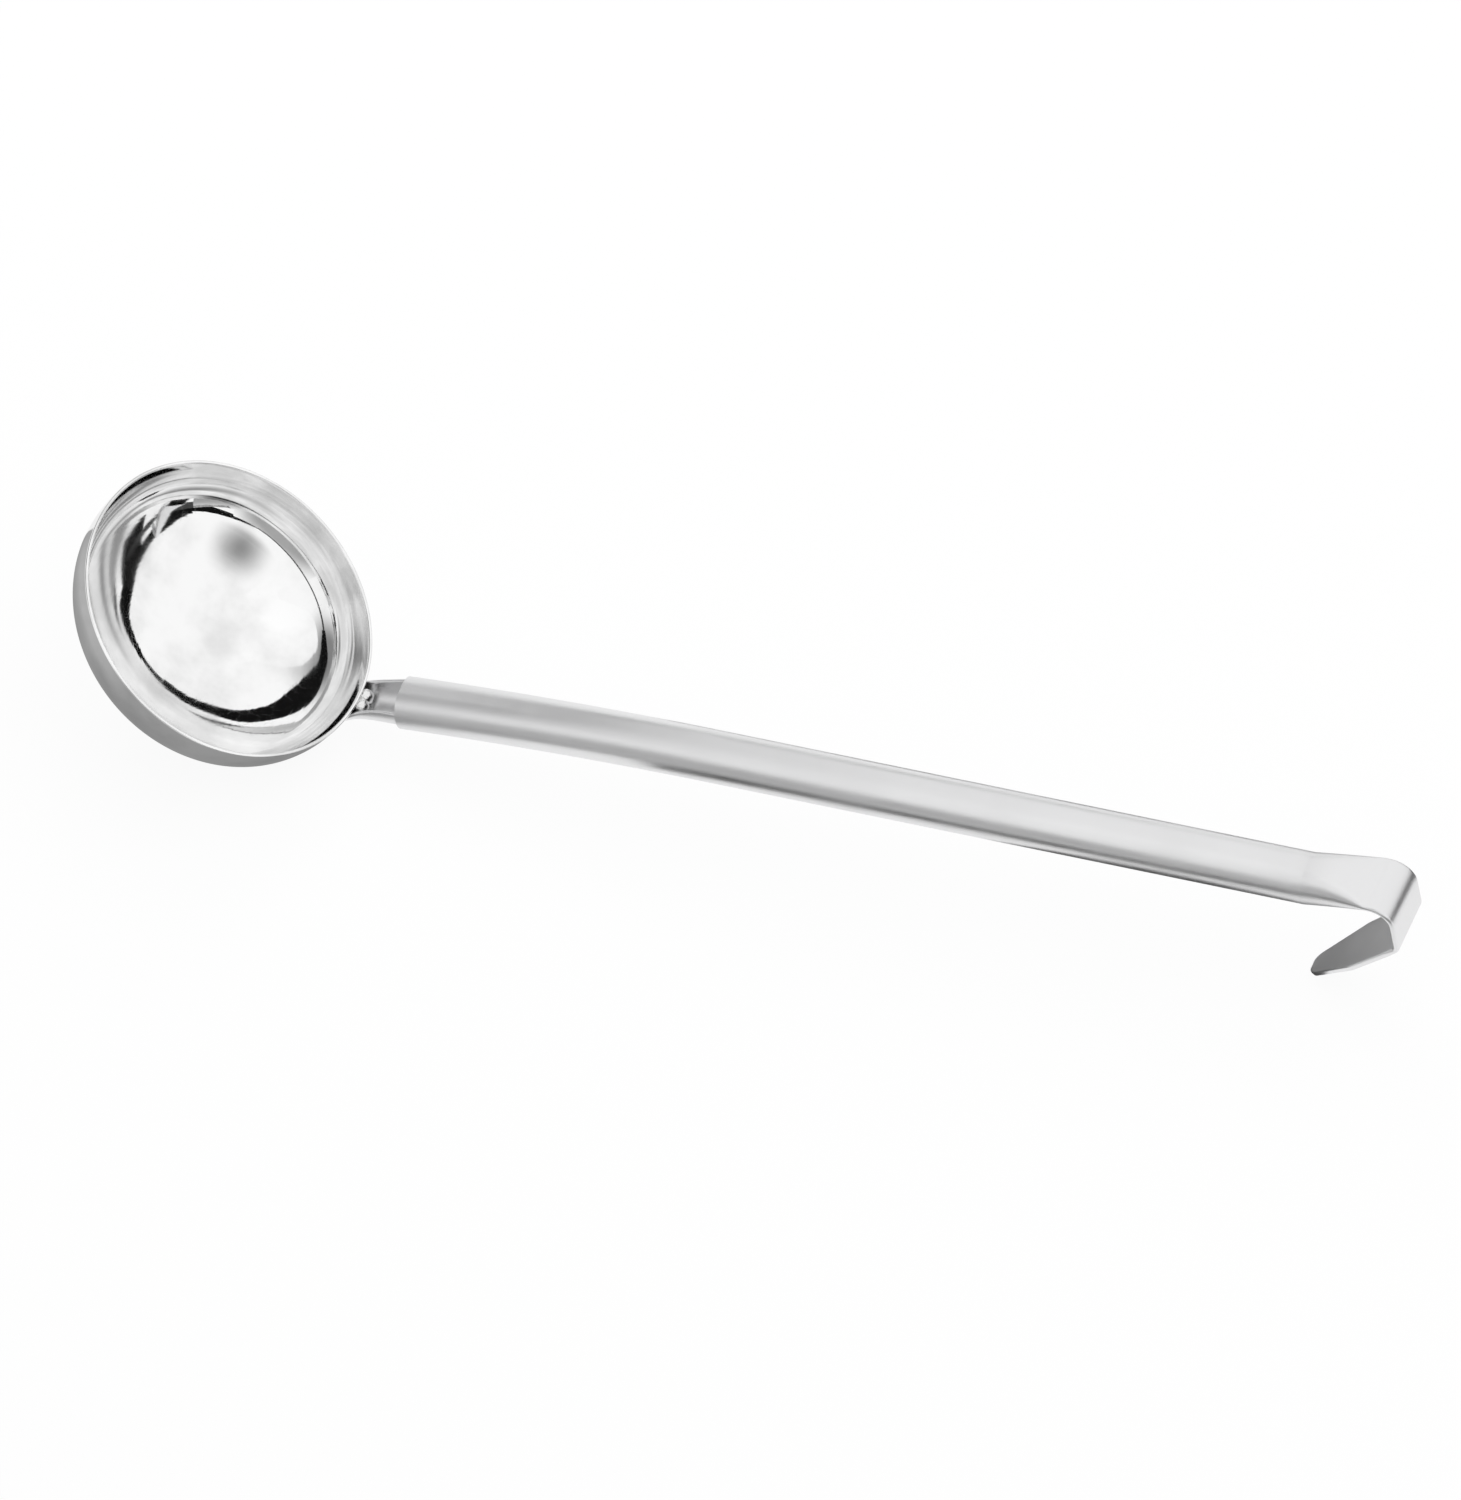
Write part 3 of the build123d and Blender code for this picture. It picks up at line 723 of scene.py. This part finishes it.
def makeWorld():
    # A pale room, white to the eye
    world = bpy.data.worlds.new("room")
    bpy.context.scene.world = world
    world.use_nodes = True
    tree = world.node_tree
    room = tree.nodes["Background"]
    room.inputs["Color"].default_value = (studio["roomTone"],) * 3 + (1,)
    seen = whiteToEye(tree, room.outputs[0], 1.0)
    tree.links.new(seen, tree.nodes["World Output"].inputs["Surface"])


def makeCard(name, points, middle, tone, edgeTone=None, span=(0, 1)):
    # A card that only metal sees: a grid of points whose tone changes with distance from a middle
    card = meshFrom(name, points.reshape(-1, 3), [gridQuads(*points.shape[:2], closed=False)])
    material = bpy.data.materials.new(name + "Tone")
    material.use_nodes = True
    tree = material.node_tree
    coords = addNode(tree, "ShaderNodeTexCoord", (-900, 0))
    away = addNode(tree, "ShaderNodeVectorMath", (-700, 0), operation="DISTANCE")
    away.inputs[1].default_value = middle
    tree.links.new(coords.outputs["Object"], away.inputs[0])
    edgeTone = tone if edgeTone is None else edgeTone
    fade = mapTo(tree, away.outputs["Value"], tone, edgeTone, (-500, 0), *span, "SMOOTHSTEP")
    plain = addNode(tree, "ShaderNodeEmission", (-250, 0))
    tree.links.new(fade, plain.inputs["Color"])
    tree.links.new(plain.outputs[0], tree.nodes["Material Output"].inputs["Surface"])
    card.data.materials.append(material)
    card.visible_camera = card.visible_diffuse = card.visible_shadow = False


def coneCard(name, knots, reach, wave=0.0, **tones):
    # A strip round the bowl's axis. Its edges follow the knots, with a ripple of two sines.
    turns, lows, highs = zip(*knots)
    turn = np.linspace(turns[0], turns[-1], cardGrid["alongCone"])
    slow, fast = np.sin(np.radians(ripples["slow"] * turn)), np.sin(np.radians(ripples["fast"] * turn) + 1)
    ripple = wave * (slow + ripples["fastShare"] * fast)
    low, high = np.interp(turn, turns, lows) + ripple, np.interp(turn, turns, highs) + ripple
    share = np.linspace(0, 1, cardGrid["acrossCone"])
    angle = np.radians(low[:, None] * (1 - share) + high[:, None] * share)
    reach = reach / toMetres
    out, turn = reach * np.sin(angle), np.radians(turn)[:, None]
    points = toFrame(out * np.cos(turn), out * np.sin(turn), reach * np.cos(angle))
    makeCard(name, points, points[cardGrid["alongCone"] // 2, cardGrid["acrossCone"] // 2], **tones)


def flatCard(name, middle, turns, radii, **tones):
    # A level sector: points at radii and turns round its middle
    turn = np.radians(np.linspace(*turns, cardGrid["alongFlat"]))[:, None]
    r = np.linspace(*radii, cardGrid["acrossFlat"])[None]
    level = middle[2] + 0 * r + 0 * turn
    points = np.stack([middle[0] + r * np.cos(turn), middle[1] + r * np.sin(turn), level], -1)
    makeCard(name, points, middle, **tones)


def addLamp(name, place, size, power):
    # A soft box that no metal mirrors
    data = bpy.data.lights.new(name, "AREA")
    data.shape, data.size, data.size_y, data.energy = "RECTANGLE", size[0], size[1], power
    lamp = bpy.data.objects.new(name, data)
    lamp.location = place
    lamp.visible_glossy = False
    aim = Vector(studio["lampTarget"]) - Vector(place)
    lamp.rotation_euler = aim.to_track_quat("-Z", "Y").to_euler()
    bpy.context.scene.collection.objects.link(lamp)


def makeCamera():
    # Looks along the fitted direction, with the rim's centre on its own pixel of the frame
    v = view
    back = Vector(v["back"]).normalized()
    right = Vector(v["up"]).cross(back).normalized()
    up = back.cross(right)
    offX = (v["frame"][0] / 2 - v["rimPixel"][0]) / v["pixelsPerMm"] * toMetres
    offY = (v["frame"][1] / 2 - v["rimPixel"][1]) / v["pixelsPerMm"] * toMetres
    rimCentre = Vector((rest["rimX"] * toMetres, 0, rest["rimZ"] * toMetres))
    target = rimCentre + right * offX - up * offY
    data = bpy.data.cameras.new("camera")
    data.type = "ORTHO"
    data.sensor_fit = "HORIZONTAL"
    data.ortho_scale = v["frame"][0] / v["pixelsPerMm"] * toMetres
    data.clip_start, data.clip_end = v["clip"]
    camera = bpy.data.objects.new("camera", data)
    turned = Matrix((right, up, back)).transposed().to_4x4()
    camera.matrix_world = Matrix.Translation(target + back * v["distance"]) @ turned
    bpy.context.scene.collection.objects.link(camera)
    bpy.context.scene.camera = camera


makeFloor()
makeWorld()
for lampValues in lamps:
    addLamp(**lampValues)
for cardValues in coneCards:
    coneCard(**cardValues)
for cardValues in flatCards:
    flatCard(**cardValues)
makeCamera()
bpy.context.scene.view_settings.view_transform = "Standard"
print("studio made")
